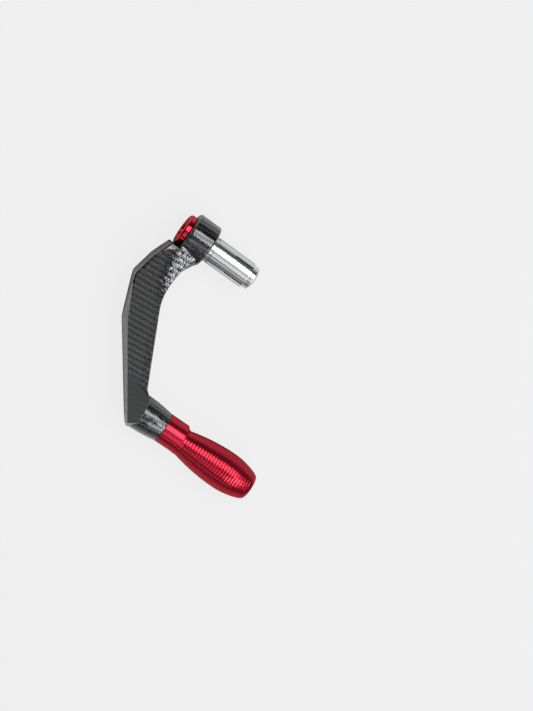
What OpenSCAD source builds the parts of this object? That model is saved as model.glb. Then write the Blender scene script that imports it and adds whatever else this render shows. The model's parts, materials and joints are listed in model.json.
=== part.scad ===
// Brake lever guard: a bar-end arm with a clamp boss, an expander that grips inside the handlebar,
// and a ribbed tip that stands in front of the lever. Right-hand side of the handlebar.
// Millimetres. X runs along the handlebar and points outboard, Y points forward, Z points up.
// The origin is on the handlebar's centre line, on the face of the clamp boss that the bar end meets.

/* [Clamp boss] */
// Outside diameter of the boss
clamp_d = 28.2; // [24:0.1:36]
// Length of the boss along the bar
clamp_len = 15.7; // [12:0.1:22]
// Radius of the boss's two rims
clamp_edge = 1.5; // [0.5:0.1:3]
// Thickness of the wall that the expander is drawn against
clamp_web = 5.2; // [3:0.1:8]

/* [End ring] */
// Diameter of the ring's flange
ring_d = 21; // [18:0.1:26]
// Thickness of the flange
ring_t = 3.6; // [2:0.1:6]
// Bore that the bolt head lies in
ring_bore = 13.6; // [12.4:0.1:15]
// Diameter of the spigot inside the boss
spigot_d = 17; // [16:0.1:19]
// Thickness of the spigot's floor
ring_floor = 3; // [2:0.1:5]
// Thickness of the bright washer under the flange
rim_t = 1.1; // [0.6:0.1:2]
// Diameter of the bright washer
rim_d = 22.2; // [20:0.1:26]

/* [Expander] */
// Diameter of the sleeve, for a bar with an inside diameter of about 18
sleeve_d = 17.5; // [12:0.1:20]
// Length of the split sleeve
sleeve_len = 27.5; // [20:0.5:45]
// Wall of the sleeve at its plain end
sleeve_wall = 2.2; // [1.5:0.1:3]
// Thickness of the stop ring between boss and sleeve
stop_t = 2.9; // [1.5:0.1:4]
// Depth of the ring's seat in the face of the boss
stop_seat = 0.6; // [0.3:0.1:1]
// Number of notches in the stop ring's rim
stop_notches = 6; // [0:1:10]
// Width of a notch in the stop ring
stop_notch_w = 1.4; // [0.8:0.1:2.5]
// Width of the relief turned at the sleeve's plain end
relief_w = 0.7; // [0.3:0.1:1.5]
// Number of slits in the sleeve
slit_count = 4; // [2:1:6]
// Length of a slit
slit_len = 13.8; // [8:0.1:20]
// Width of a slit
slit_w = 0.9; // [0.5:0.1:2]
// Turn of the slits about the bar, from halfway between up and forward
slit_turn = 8; // [-20:1:20]
// Length of the cone inside the sleeve
cone_in = 9; // [6:0.1:14]
// Length of the cone nut that shows past the sleeve
cone_out = 4.6; // [3:0.1:8]
// Diameter of the cone nut's wide end
cone_d = 15.2; // [11:0.1:17]
// Diameter of the cone nut's narrow end
cone_tip_d = 12.2; // [9:0.1:14]
// Chamfer of the cone nut's outer end
cone_bevel = 1.2; // [0.4:0.1:2]

/* [Fasteners] */
// Shank diameter of both bolts
bolt_d = 6; // [5:0.5:8]
// Head diameter of both bolts
head_d = 10; // [8.5:0.5:11]
// Head height of both bolts
head_h = 6; // [4:0.5:8]
// Width across flats of the hexagon socket
hex_af = 5; // [4:0.5:6]
// Depth of the hexagon socket
hex_deep = 3; // [2:0.5:4]
// Diameter of the plain washers
washer_d = 11.6; // [10:0.1:13]
// Thickness of the plain washers
washer_t = 1.2; // [0.8:0.1:2]
// Engagement of the tip bolt in its threaded insert
tip_bolt_grip = 10; // [6:0.5:14]
// Outside diameter of the threaded insert
insert_d = 9; // [7.6:0.1:11]
// Length of the threaded insert
insert_len = 12; // [8:0.5:16]

/* [Arm] */
// Distance from the bar's centre line to the tip's centre line
palm = 108.5; // [95:0.5:130]
// Height of the arm's side walls, top face to bottom face
arm_h = 25.2; // [20:0.2:26]
// How far the shoulder stands outboard
shoulder_x = 21.6; // [19:0.1:26]
// Gap between the washer's rim and the hollow that the shoulder keeps round it
shoulder_gap = 0.4; // [0.3:0.1:2]
// How far the shoulder laps over that hollow
shoulder_lap = 1.1; // [0.4:0.1:2]
// Length of the shoulder's corner face along the outer side
shoulder_face = 8; // [3:0.5:11]
// Steepness of the shoulder's corner face
shoulder_slope = 48; // [30:1:65]
// Outboard place of the brow, the slight corner above the elbow
brow_x = 26.1; // [23:0.1:29]
// Forward place of the brow
brow_y = 22.8; // [18:0.1:28]
// Outboard place of the elbow
elbow_x = 29.1; // [26:0.1:34]
// Forward place of the elbow
elbow_y = 38.7; // [34:0.1:45]
// Outboard place of the knee
knee_x = 18.8; // [14:0.1:24]
// Forward place of the knee
knee_y = 65.6; // [58:0.1:74]
// Place of the heel along the bar, inboard being negative
heel_x = -22; // [-27:0.1:-18]
// Furthest outboard point of the hollow inner edge
belly_x = 7; // [4:0.1:10]
// Forward place of that point
belly_y = 33; // [28:0.1:38]
// Radius of the inner edge towards the boss
belly_r_rear = 89; // [60:1:140]
// Radius of the inner edge towards the crotch
belly_r_front = 35; // [25:1:60]
// Place of the crotch along the bar
crotch_x = -19.4; // [-24:0.1:-16]
// Distance from the crotch back from the tip's centre line
crotch_back = 15.3; // [13:0.1:18]
// Width of the web between boss and inner edge, past the boss radius
web_run = 2.4; // [1:0.1:5]

/* [Arm faces] */
// Width of the outer bevel at the knee
bevel_knee = 3; // [1:0.1:5]
// Width of the outer bevel at the heel
bevel_heel = 0.5; // [0.2:0.1:2]
// Steepness of the outer bevel
bevel_angle = 68; // [50:1:80]
// Width of the rounding along the shoulder and brow
brow_soft = 3.4; // [1:0.1:6]
// Steepness of the web's bevel
web_angle = 70; // [50:1:80]
// Distance of the web bevel's line from the boss's inboard face
web_in = 1.8; // [1:0.1:4]
// Distance of that line's rear end inside the boss's radius
web_back = 8.5; // [4:0.1:12]
// Slope of the inner half of the top face
dish_angle = 12; // [4:1:20]
// Distance of the slope's ridge from the inner edge beside the boss
dish_rear = 12.6; // [8:0.1:15]
// Distance of the slope's ridge from the inner edge at the belly
dish_mid = 4.6; // [3:0.1:8]
// Distance of the slope's ridge from the inner edge at the crotch
dish_front = 9.1; // [6:0.1:12]
// Place along the bar that the ridge's rear end is measured from
ridge_start = 5; // [2:0.1:8]
// How far past the belly the ridge bends
ridge_past = 6; // [0:0.1:12]
// How far behind the crotch the ridge meets the ramp
ridge_short = 2.6; // [0:0.1:5]
// Slope of the ramp that ends the sloping face before the stub
ramp_angle = 40; // [25:1:60]
// Lean of the end face of the arm
end_lean = 8; // [0:1:15]
// How far the arm's outer flat stands proud of the round stub
heel_proud = 0.15; // [0.1:0.05:0.6]
// Place of the heel's corner face on the end face, forward of the tip's centre line
heel_face = 4.3; // [1:0.1:8]
// Steepness of the heel's corner face
heel_slope = 70; // [69:1:78]
// How far the rear corner of the end face sinks into the stub
corner_sink = 0.6; // [0.3:0.1:1.5]

/* [Stub] */
// Largest diameter of the round stub
stub_d = 23.2; // [20:0.1:25]
// Diameter of the stub at the tip
stub_end_d = 19.9; // [17:0.1:21]
// Place of the stub's end along the bar
stub_x = -42.9; // [-50:0.1:-38]
// Length of the tapered part of the stub
stub_taper = 11; // [6:0.1:14]
// How far the stub is narrower than its largest diameter at the middle of the taper, each side
stub_crown = 0.8; // [0.4:0.1:1.4]
// How far it is narrower at the taper's end, each side
stub_shoulder = 0.2; // [0.1:0.05:0.4]
// How far the stub runs into the arm past its end face
stub_root = 2.1; // [1:0.1:4]

/* [Tip] */
// Diameter of the plain collar
collar_d = 19.9; // [18:0.1:22]
// Length of the plain collar
collar_len = 13.8; // [8:0.1:20]
// Length of the ribbed grip
grip_len = 54.7; // [40:0.1:70]
// Largest diameter of the ribbed grip
grip_d = 25.7; // [22:0.1:30]
// Diameter of the grip at its neck
neck_d = 18; // [15:0.1:20]
// Diameter of the grip at its far end
grip_end_d = 17.8; // [14:0.1:22]
// Place of the largest diameter, as a distance from the collar
grip_peak = 35; // [25:0.5:45]
// Offset of the grip towards the front of the collar
grip_offset = 1.2; // [0:0.1:2]
// Radius of the hollow behind the collar
neck_hollow = 3.2; // [1.5:0.1:5]
// Pitch of the ribs
rib_pitch = 2.03; // [1.5:0.01:4]
// Depth of the grooves between the ribs
rib_deep = 0.45; // [0.2:0.05:0.8]
// Plain land left at the far end
end_land = 1.6; // [0.8:0.1:4]
// Diameter of the recess for the tip bolt
tip_recess_d = 12.4; // [11:0.1:14]
// Depth of the solid part in front of the recess
tip_floor = 16; // [10:0.5:30]

/* [Fits] */
// Radial clearance round shanks and washers
clear = 0.2; // [0.1:0.05:0.4]
// Radial clearance of the spigot in the boss
spigot_clear = 0.1; // [0.05:0.05:0.3]
// Radial clearance between cone and sleeve
cone_clear = 0.1; // [0.05:0.05:0.3]
// Axial clearance between parts that stack without pressing
stack_gap = 0.1; // [0.05:0.05:0.3]

/* [Hidden] */
$fn = 96;

carbon = "#26282b";
red = "#b01020";
bright = "#c9ccd0";
steel = "#9a9da1";
brass = "#b8944a";

half_h = arm_h / 2;
reach = 60;

// Places along the handlebar
rim_x0 = clamp_len;
ring_x0 = rim_x0 + rim_t;
ring_x1 = ring_x0 + ring_t;
spigot_x0 = clamp_web + stack_gap;
floor_x1 = spigot_x0 + ring_floor;
head_x0 = floor_x1 + washer_t;
sleeve_x0 = stop_seat - stop_t;
sleeve_x1 = sleeve_x0 - sleeve_len;
cone_x0 = sleeve_x1 + cone_in;
cone_x1 = sleeve_x1 - cone_out;
bar_bolt_len = head_x0 - cone_x1 - 1;

// Places along the tip
collar_x1 = stub_x - collar_len;
grip_x1 = collar_x1 - grip_len;
tip_seat_x = collar_x1 - tip_floor;
insert_x1 = stub_x + insert_len;
tip_bolt_len = stub_x + tip_bolt_grip - tip_seat_x + washer_t;

// Corners of the arm seen from above
hollow_r = max(ring_d, rim_d) / 2 + shoulder_gap;
shoulder_y = hollow_r - shoulder_lap;
shoulder = [shoulder_x, shoulder_y];
brow = [brow_x, brow_y];
elbow = [elbow_x, elbow_y];
knee = [knee_x, knee_y];
heel = [heel_x, palm + stub_d / 2 + heel_proud];
crotch = [crotch_x, palm - crotch_back];
root_in = 0.6;
boss_in = clamp_len - 0.5;
web = [root_in + web_run, clamp_d / 2 + web_run];
web_y1 = clamp_d / 2 + 3 * web_run;
rear_c = [belly_x - belly_r_rear, belly_y];
front_c = [belly_x - belly_r_front, belly_y];
to_crotch = crotch - front_c;
edge_turn = atan2(to_crotch.y, to_crotch.x) - acos(belly_r_front / norm(to_crotch));
belly_end = front_c + belly_r_front * [cos(edge_turn), sin(edge_turn)];
end_top = [heel_x - 3, palm - stub_d / 2 + corner_sink];
end_low = [end_top.x - (heel.y - end_top.y) * tan(end_lean), heel.y];

// Lines on the top face
out = heel - knee;
out_n = [out.y, -out.x] / norm(out);
crease_a = knee - bevel_knee * out_n;
crease_b = heel - bevel_heel * out_n;
web_line_a = [web_in, clamp_d / 2 - web_back];
web_line_b = [belly_x - 1, web_y1];
ridge_a = [ridge_start + dish_rear, hollow_r];
ridge_b = [belly_x + dish_mid, belly_y + ridge_past];
ridge_c = crotch + [dish_front, -ridge_short];
ramp_end = [end_top.x, end_top.y + 0.6];
corner_a = [clamp_len + 0.8, hollow_r];
corner_b = shoulder + shoulder_face * (brow - shoulder) / norm(brow - shoulder);
heel_y = palm + heel_face;
heel_end = [end_top.x - (heel_y - end_top.y) * tan(end_lean), heel_y];

function arc(c, r, a0, a1, n) = [for (i = [0:n]) c + r * [cos(a0 + (a1 - a0) * i / n), sin(a0 + (a1 - a0) * i / n)]];
function arch(peak, drop, run, t) = peak - drop * (t / run) * (t / run);
function grip_r(d) = d < grip_peak
    ? arch(grip_d / 2, (grip_d - neck_d) / 2, grip_peak - neck_hollow, min(grip_peak - d, grip_peak - neck_hollow))
    : arch(grip_d / 2, (grip_d - grip_end_d) / 2, grip_len - grip_peak, d - grip_peak);

// A solid turned about the X axis from points of radius and place
module turned(points) {
    rotate([0, 90, 0]) rotate_extrude() polygon(points);
}

// A plain cylinder on the X axis between two places
module bar(d, x0, x1) {
    translate([min(x0, x1), 0, 0]) rotate([0, 90, 0]) cylinder(d = d, h = abs(x1 - x0));
}

// Everything past a plane that holds the line p to q at a height and falls away to its right
module past(p, q, z, angle) {
    along = q - p;
    translate([p.x, p.y, z]) rotate([0, 0, atan2(along.y, along.x)]) rotate([angle, 0, 0])
        translate([-reach, -reach, 0]) cube([norm(along) + 2 * reach, reach, reach]);
}

module arm_outline() {
    polygon(concat(
        [[root_in, 0], [boss_in, 0], [boss_in, shoulder_y], shoulder, brow, elbow, knee, heel,
         end_low, end_top, crotch],
        [for (i = [12:-1:1]) arc(front_c, belly_r_front, 0, edge_turn, 12)[i]],
        arc(rear_c, belly_r_rear, 0, asin((web_y1 - belly_y) / belly_r_rear), 6),
        [web, [root_in, clamp_d / 2 - 1]]
    ));
}

// What is cut from the arm's top face; the bottom face mirrors it
module face_cuts() {
    past(crease_a, crease_b, half_h, bevel_angle);
    past(crease_b, heel_end, half_h, heel_slope);
    past(corner_a, corner_b, half_h, shoulder_slope);
    for (step = [[1, 32], [0.45, 62]]) {
        side = [[shoulder, brow], [brow, elbow], [elbow, knee]];
        for (i = [0:2]) {
            run = side[i][1] - side[i][0];
            inward = -brow_soft * step[0] * (i == 2 ? 0.35 : 1) * [run.y, -run.x] / norm(run);
            drop = (1 - step[0]) * brow_soft * (i == 2 ? 0.35 : 1) * tan(32);
            past(side[i][0] + inward, side[i][1] + inward, half_h - drop, step[1]);
        }
    }
    intersection() {
        past(web_line_b, web_line_a, half_h, web_angle);
        past(web_line_b, web_line_b + [10, 0], half_h, 60);
    }
    intersection() {
        past(ridge_b, ridge_a, half_h, dish_angle);
        past(ridge_c, ridge_b, half_h, dish_angle);
        past(ramp_end, ridge_c, half_h, ramp_angle);
    }
}

module boss() {
    r = clamp_d / 2;
    e = clamp_edge;
    turned(concat(
        [[0, 0]],
        arc([r - e, e], e, -90, 0, 6),
        arc([r - e, clamp_len - e], e, 0, 90, 6),
        [[0, clamp_len]]
    ));
}

module stub() {
    root = end_top.x + stub_root;
    full = min(end_top.x, stub_x + 1.5 * stub_taper);
    translate([0, palm, 0]) turned([
        [0, stub_x], [stub_end_d / 2, stub_x],
        [stub_d / 2 - stub_crown, stub_x + stub_taper / 2],
        [stub_d / 2 - stub_shoulder, stub_x + stub_taper],
        [stub_d / 2, full], [stub_d / 2, root], [0, root]
    ]);
}

module guard_arm() {
    color(carbon) difference() {
        union() {
            boss();
            stub();
            difference() {
                linear_extrude(height = arm_h, center = true) arm_outline();
                face_cuts();
                mirror([0, 0, 1]) face_cuts();
            }
        }
        bar(bolt_d + 2 * clear, -1, clamp_len);
        bar(sleeve_d + 2 * clear, -1, stop_seat);
        bar(spigot_d + 2 * spigot_clear, clamp_web, clamp_len + 1);
        bar(2 * hollow_r, clamp_len, reach);
        translate([0, palm, 0]) {
            bar(insert_d, stub_x - 1, insert_x1);
            bar(bolt_d + 2 * clear, stub_x, insert_x1 + 2);
        }
    }
}

module end_ring() {
    soft = 0.9;
    color(red) turned([
        [bolt_d / 2 + clear, spigot_x0], [spigot_d / 2, spigot_x0], [spigot_d / 2, ring_x0],
        [ring_d / 2 - 0.5, ring_x0], [ring_d / 2, ring_x0 + 0.6],
        [ring_d / 2, ring_x1 - soft], [ring_d / 2 - 0.35 * soft, ring_x1 - 0.35 * soft],
        [ring_d / 2 - soft, ring_x1], [ring_bore / 2 + 0.5, ring_x1],
        [ring_bore / 2, ring_x1 - 0.5], [ring_bore / 2, floor_x1], [bolt_d / 2 + clear, floor_x1]
    ]);
}

module rim_washer() {
    color(bright) difference() {
        bar(rim_d, rim_x0, ring_x0);
        bar(spigot_d + 2 * clear, rim_x0 - 1, ring_x0 + 1);
    }
}

// A socket-head bolt whose head starts at the origin and whose shank runs inboard
module socket_bolt(len) {
    difference() {
        turned([
            [0, -len], [bolt_d / 2 - 0.6, -len], [bolt_d / 2, -len + 0.6], [bolt_d / 2, 0],
            [head_d / 2, 0], [head_d / 2, head_h - 0.5], [head_d / 2 - 0.5, head_h], [0, head_h]
        ]);
        translate([head_h - hex_deep, 0, 0]) rotate([0, 90, 0])
            cylinder(d = hex_af / cos(30), h = hex_deep + 1, $fn = 6);
    }
}

module plain_washer() {
    difference() {
        bar(washer_d, 0, washer_t);
        bar(bolt_d + 2 * clear, -1, washer_t + 1);
    }
}

module bar_bolt() {
    color(steel) translate([head_x0, 0, 0]) socket_bolt(bar_bolt_len);
}

module bar_bolt_washer() {
    color(bright) translate([floor_x1, 0, 0]) plain_washer();
}

module stop_ring() {
    color(bright) difference() {
        turned([
            [bolt_d / 2 + clear, sleeve_x0], [sleeve_d / 2 - 0.3, sleeve_x0], [sleeve_d / 2, sleeve_x0 + 0.3],
            [sleeve_d / 2, stop_seat - 0.3], [sleeve_d / 2 - 0.3, stop_seat], [bolt_d / 2 + clear, stop_seat]
        ]);
        if (stop_notches > 0) for (i = [0:stop_notches - 1]) rotate([i * 360 / stop_notches, 0, 0])
            translate([sleeve_x0 - 1, -stop_notch_w / 2, sleeve_d / 2 - 0.9]) cube([1 - sleeve_x0 - 0.8, stop_notch_w, 2]);
    }
}

module expander_sleeve() {
    bore = sleeve_d - 2 * sleeve_wall;
    mouth = cone_d / 2 + cone_clear;
    throat = cone_tip_d / 2 + cone_clear;
    color(bright) difference() {
        turned([
            [bolt_d / 2 + clear, sleeve_x0], [sleeve_d / 2 - 0.6, sleeve_x0],
            [sleeve_d / 2 - 0.6, sleeve_x0 - relief_w], [sleeve_d / 2, sleeve_x0 - relief_w],
            [sleeve_d / 2, sleeve_x1 + 0.4], [sleeve_d / 2 - 0.3, sleeve_x1],
            [mouth, sleeve_x1], [throat, cone_x0], [min(throat, bore / 2), cone_x0 + 1.5],
            [bore / 2, sleeve_x0 - 5], [bolt_d / 2 + clear, sleeve_x0 - 5]
        ]);
        for (i = [0:slit_count - 1]) rotate([(i + 0.5) * 360 / slit_count + slit_turn, 0, 0])
            translate([sleeve_x1 - 1, -slit_w / 2, 0]) cube([slit_len + 1, slit_w, sleeve_d]);
    }
}

module cone_nut() {
    color(bright) difference() {
        turned([
            [0, cone_x1], [cone_d / 2 - cone_bevel, cone_x1],
            [cone_d / 2, cone_x1 + cone_bevel], [cone_d / 2, sleeve_x1],
            [cone_tip_d / 2, cone_x0], [0, cone_x0]
        ]);
        bar(bolt_d + 2 * clear, cone_x1 - 1, cone_x0 + 1);
    }
}

module grip_tip() {
    ribs = floor((grip_len - 2 * end_land) / rib_pitch);
    top = [for (i = [0:ribs - 1]) for (k = [[0, 0], [0.3, 0], [0.5, 1], [0.8, 1]])
        let (d = end_land + (i + k[0]) * rib_pitch) [grip_r(d) - k[1] * rib_deep, collar_x1 - d]];
    color(red) translate([0, palm, 0]) difference() {
        union() {
            turned([
                [0, stub_x], [collar_d / 2 - 0.4, stub_x], [collar_d / 2, stub_x - 0.4],
                [collar_d / 2, collar_x1 + 0.3], [collar_d / 2 - 0.3, collar_x1], [0, collar_x1]
            ]);
            turned(concat(
                [[0, collar_x1 + 1]],
                [for (a = [0:15:90]) [min(collar_d / 2 - 0.4, neck_d / 2 - grip_offset + neck_hollow * (1 - sin(a))),
                    collar_x1 - neck_hollow * (1 - cos(a))]],
                [[0, collar_x1 - neck_hollow - 1]]
            ));
            translate([0, grip_offset, 0]) turned(concat(
                [[0, collar_x1], [grip_r(0), collar_x1], [grip_r(0), collar_x1 - end_land / 2]],
                top,
                [[grip_end_d / 2, grip_x1 + end_land / 2], [grip_end_d / 2 - 0.8, grip_x1], [0, grip_x1]]
            ));
        }
        bar(bolt_d + 2 * clear, tip_seat_x - 1, stub_x + 1);
        bar(tip_recess_d, grip_x1 - 1, tip_seat_x);
    }
}

module tip_bolt() {
    color(steel) translate([tip_seat_x - washer_t, palm, 0]) mirror([1, 0, 0]) socket_bolt(tip_bolt_len);
}

module tip_bolt_washer() {
    color(bright) translate([tip_seat_x - washer_t, palm, 0]) plain_washer();
}

module tip_insert() {
    color(brass) translate([0, palm, 0]) difference() {
        bar(insert_d - 2 * spigot_clear, stub_x + stack_gap, insert_x1 - stack_gap);
        bar(bolt_d + 2 * clear, stub_x - 1, insert_x1 + 1);
    }
}

guard_arm();
end_ring();
rim_washer();
bar_bolt();
bar_bolt_washer();
stop_ring();
expander_sleeve();
cone_nut();
grip_tip();
tip_bolt();
tip_bolt_washer();
tip_insert();
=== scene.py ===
"""Builds the looks of a bar-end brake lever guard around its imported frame.

Lengths in the classes are millimetres; a finished piece is scaled to metres in its mesh.
X runs along the handlebar and points outboard, Y points forward to the tip, Z points up.
"""

import json
import logging
import math
from collections.abc import Iterator
from contextlib import contextmanager
from dataclasses import dataclass, field
from enum import Enum

import bmesh
import bpy
from mathutils import Matrix, Quaternion, Vector

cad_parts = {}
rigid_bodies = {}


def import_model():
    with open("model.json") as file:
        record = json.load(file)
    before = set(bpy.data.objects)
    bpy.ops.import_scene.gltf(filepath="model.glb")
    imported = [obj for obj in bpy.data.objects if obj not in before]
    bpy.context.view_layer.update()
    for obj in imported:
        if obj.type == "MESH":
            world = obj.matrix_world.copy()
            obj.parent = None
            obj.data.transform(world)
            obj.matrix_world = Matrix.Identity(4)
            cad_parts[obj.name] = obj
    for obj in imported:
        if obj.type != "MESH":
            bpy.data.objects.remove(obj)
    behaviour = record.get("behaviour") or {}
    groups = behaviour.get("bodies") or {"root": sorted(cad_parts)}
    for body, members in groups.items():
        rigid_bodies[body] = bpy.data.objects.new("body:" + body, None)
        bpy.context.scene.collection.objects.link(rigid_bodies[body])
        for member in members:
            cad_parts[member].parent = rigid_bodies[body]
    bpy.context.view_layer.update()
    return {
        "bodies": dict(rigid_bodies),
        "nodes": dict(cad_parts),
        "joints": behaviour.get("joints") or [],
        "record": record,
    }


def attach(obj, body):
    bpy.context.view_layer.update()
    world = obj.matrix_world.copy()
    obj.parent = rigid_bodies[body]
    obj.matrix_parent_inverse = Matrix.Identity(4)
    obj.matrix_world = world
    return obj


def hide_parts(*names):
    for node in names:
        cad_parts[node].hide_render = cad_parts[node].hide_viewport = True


MM = 0.001
FULL_TURN = 2 * math.pi
BODY = "root"
LOG = logging.getLogger("lever_guard")

Point = tuple[float, float]
Pair = tuple[float, float]
Triple = tuple[float, float, float]
Edge = bmesh.types.BMEdge
Mesh = bpy.types.Object
Tree = bpy.types.NodeTree


class Slot(str, Enum):
    """The record's material slots."""

    CARBON = "carbon_look"
    RED = "red_anodised"
    BRIGHT = "turned_aluminium"
    STEEL = "bolt_steel"
    BRASS = "insert_brass"


class Join(str, Enum):
    """How one solid is put together with another."""

    UNION = "UNION"
    CUT = "DIFFERENCE"


# ---- modelling helpers


def deselect_all() -> None:
    """Leaves edit mode and deselects every object."""
    if bpy.context.object and bpy.context.object.mode != "OBJECT":
        bpy.ops.object.mode_set(mode="OBJECT")
    bpy.ops.object.select_all(action="DESELECT")


def make_active(piece: Mesh) -> None:
    """Selects one object alone and makes it the active one."""
    deselect_all()
    piece.select_set(True)
    bpy.context.view_layer.objects.active = piece


@contextmanager
def editing(piece: Mesh, mode: str = "VERT") -> Iterator[bmesh.types.BMesh]:
    """Opens a piece in edit mode with nothing selected.

    Args:
        piece: The object to edit.
        mode: The select mode, VERT, EDGE or FACE.

    Returns:
        The edit mesh, for selecting by place or normal.
    """
    make_active(piece)
    bpy.ops.object.mode_set(mode="EDIT")
    bpy.ops.mesh.select_mode(type=mode)
    bpy.ops.mesh.select_all(action="DESELECT")
    yield bmesh.from_edit_mesh(piece.data)
    bpy.ops.object.mode_set(mode="OBJECT")


def apply_place(piece: Mesh) -> Mesh:
    """Moves a piece's place, turn and scale into its mesh."""
    make_active(piece)
    bpy.ops.object.transform_apply(location=True, rotation=True, scale=True)
    return piece


def named(name: str) -> Mesh:
    """Names the object that an operator has just added, and its mesh."""
    piece = bpy.context.object
    piece.name = piece.data.name = name
    return piece


def left_of(start: Vector, end: Vector) -> Vector:
    """The unit vector to the left of the way from one point to another."""
    run = end - start
    return Vector((-run.y, run.x)).normalized()


def rounded(corners: list[Triple], steps: int = 4) -> list[Point]:
    """Replaces the corners of a closed outline by arcs.

    Args:
        corners: Points with the radius of the arc at each; 0 keeps the corner sharp.
        steps: Straight pieces in each arc.

    Returns:
        The outline's points in the same order.
    """
    points: list[Point] = []
    for i, (x, y, radius) in enumerate(corners):
        here = Vector((x, y))
        back = Vector(corners[i - 1][:2]) - here
        ahead = Vector(corners[(i + 1) % len(corners)][:2]) - here
        half = back.angle(ahead, math.pi) / 2 if back.length and ahead.length else math.pi / 2
        if radius <= 0 or half > math.radians(89):
            points.append((x, y))
            continue
        reach = min(radius / math.tan(half), 0.49 * back.length, 0.49 * ahead.length)
        radius = reach * math.tan(half)
        centre = here + (back.normalized() + ahead.normalized()).normalized() * (radius / math.sin(half))
        first = here + back.normalized() * reach - centre
        last = here + ahead.normalized() * reach - centre
        turn = math.atan2(first.x * last.y - first.y * last.x, first.dot(last))
        for k in range(steps + 1):
            spoke = Matrix.Rotation(turn * k / steps, 2) @ first
            points.append((centre.x + spoke.x, centre.y + spoke.y))
    return points


def lathe(name: str, profile: list[Point], steps: int = 128) -> Mesh:
    """Turns a profile about the X axis.

    Args:
        name: The new object's name.
        profile: Points of (place along X, radius); it is closed, or ends on the axis.
        steps: Facets round the axis.

    Returns:
        The turned object.
    """
    deselect_all()
    bpy.ops.mesh.primitive_circle_add(vertices=len(profile), radius=1.0, fill_type="NOTHING")
    piece = named(name)
    for vertex, (x, radius) in zip(piece.data.vertices, profile):
        vertex.co = (x, 0.0, radius)
    with editing(piece, "EDGE") as mesh:
        on_axis = [edge for edge in mesh.edges if all(abs(v.co.z) < 1e-6 for v in edge.verts)]
        for edge in on_axis:
            edge.select_set(True)
        mesh.select_flush_mode()
        bmesh.update_edit_mesh(piece.data)
        if on_axis:
            bpy.ops.mesh.delete(type="EDGE")
    with editing(piece):
        bpy.ops.mesh.select_all(action="SELECT")
        bpy.ops.mesh.spin(steps=steps, angle=FULL_TURN, center=(0, 0, 0), axis=(1, 0, 0))
        bpy.ops.mesh.select_all(action="SELECT")
        bpy.ops.mesh.remove_doubles(threshold=1e-4)
        bpy.ops.mesh.dissolve_degenerate(threshold=1e-5)
        bpy.ops.mesh.select_all(action="SELECT")
        bpy.ops.mesh.normals_make_consistent(inside=False)
    return piece


def prism(name: str, outline: list[Point], low: float, high: float) -> Mesh:
    """Extrudes a closed outline in the XY plane from one height to another."""
    deselect_all()
    bpy.ops.mesh.primitive_circle_add(vertices=len(outline), radius=1.0, fill_type="NGON")
    piece = named(name)
    for vertex, (x, y) in zip(piece.data.vertices, outline):
        vertex.co = (x, y, low)
    with editing(piece, "FACE"):
        bpy.ops.mesh.select_all(action="SELECT")
        bpy.ops.mesh.extrude_region_move(TRANSFORM_OT_translate={"value": (0, 0, high - low)})
        bpy.ops.mesh.select_all(action="SELECT")
        bpy.ops.mesh.normals_make_consistent(inside=False)
    return piece


def rod(
    name: str, diameter: float, x0: float, x1: float, centre: Point = (0.0, 0.0), sides: int = 96,
) -> Mesh:
    """A plain cutter along X between two places, for bores and sockets."""
    deselect_all()
    bpy.ops.mesh.primitive_cylinder_add(
        vertices=sides, radius=diameter / 2, depth=x1 - x0,
        location=((x0 + x1) / 2, *centre), rotation=(0, math.pi / 2, 0),
    )
    return apply_place(named(name))


def apply_modifier(piece: Mesh, kind: str, **settings: object) -> None:
    """Adds a modifier to a piece, sets it and applies it."""
    make_active(piece)
    modifier = piece.modifiers.new(kind.lower(), kind)
    for key, value in settings.items():
        setattr(modifier, key, value)
    bpy.ops.object.modifier_apply(modifier=modifier.name)


def combine(piece: Mesh, other: Mesh, how: Join) -> None:
    """Joins or cuts a piece with another, which is used up."""
    apply_modifier(piece, "BOOLEAN", object=other, operation=how.value, solver="MANIFOLD")
    bpy.data.objects.remove(other)


def settle(piece: Mesh, angle: float = 30.0) -> Mesh:
    """Smooths a finished piece and scales its mesh from millimetres to metres.

    Args:
        piece: The modelled piece, in millimetres.
        angle: Edges sharper than this stay sharp, in degrees.

    Returns:
        The piece, its object at the origin, unturned and unscaled.
    """
    with editing(piece):
        bpy.ops.mesh.select_all(action="SELECT")
        bpy.ops.mesh.remove_doubles(threshold=2e-4)
        bpy.ops.mesh.dissolve_degenerate(threshold=1e-5)
    make_active(piece)
    bpy.ops.object.shade_smooth_by_angle(angle=math.radians(angle))
    apply_modifier(piece, "WEIGHTED_NORMAL", keep_sharp=True, weight=60)
    piece.scale = (MM, MM, MM)
    return apply_place(piece)


# ---- material helpers


def linear(hex_colour: str) -> tuple[float, float, float, float]:
    """Turns an sRGB hex colour to linear RGBA."""
    parts = [int(hex_colour[i:i + 2], 16) / 255 for i in (1, 3, 5)]
    return (*[p / 12.92 if p <= 0.04045 else ((p + 0.055) / 1.055) ** 2.4 for p in parts], 1.0)


def add_node(tree: Tree, kind: str, sockets: dict | None = None, **settings: object) -> bpy.types.Node:
    """Adds a node to a tree.

    Args:
        tree: The node tree.
        kind: The node's type name.
        sockets: Input name or number to a value, or to an output that is linked to it.
        **settings: Properties of the node itself.

    Returns:
        The new node.
    """
    node = tree.nodes.new(kind)
    for key, value in settings.items():
        setattr(node, key, value)
    for key, value in (sockets or {}).items():
        if isinstance(value, bpy.types.NodeSocket):
            tree.links.new(value, node.inputs[key])
        else:
            node.inputs[key].default_value = value
    return node


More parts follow.
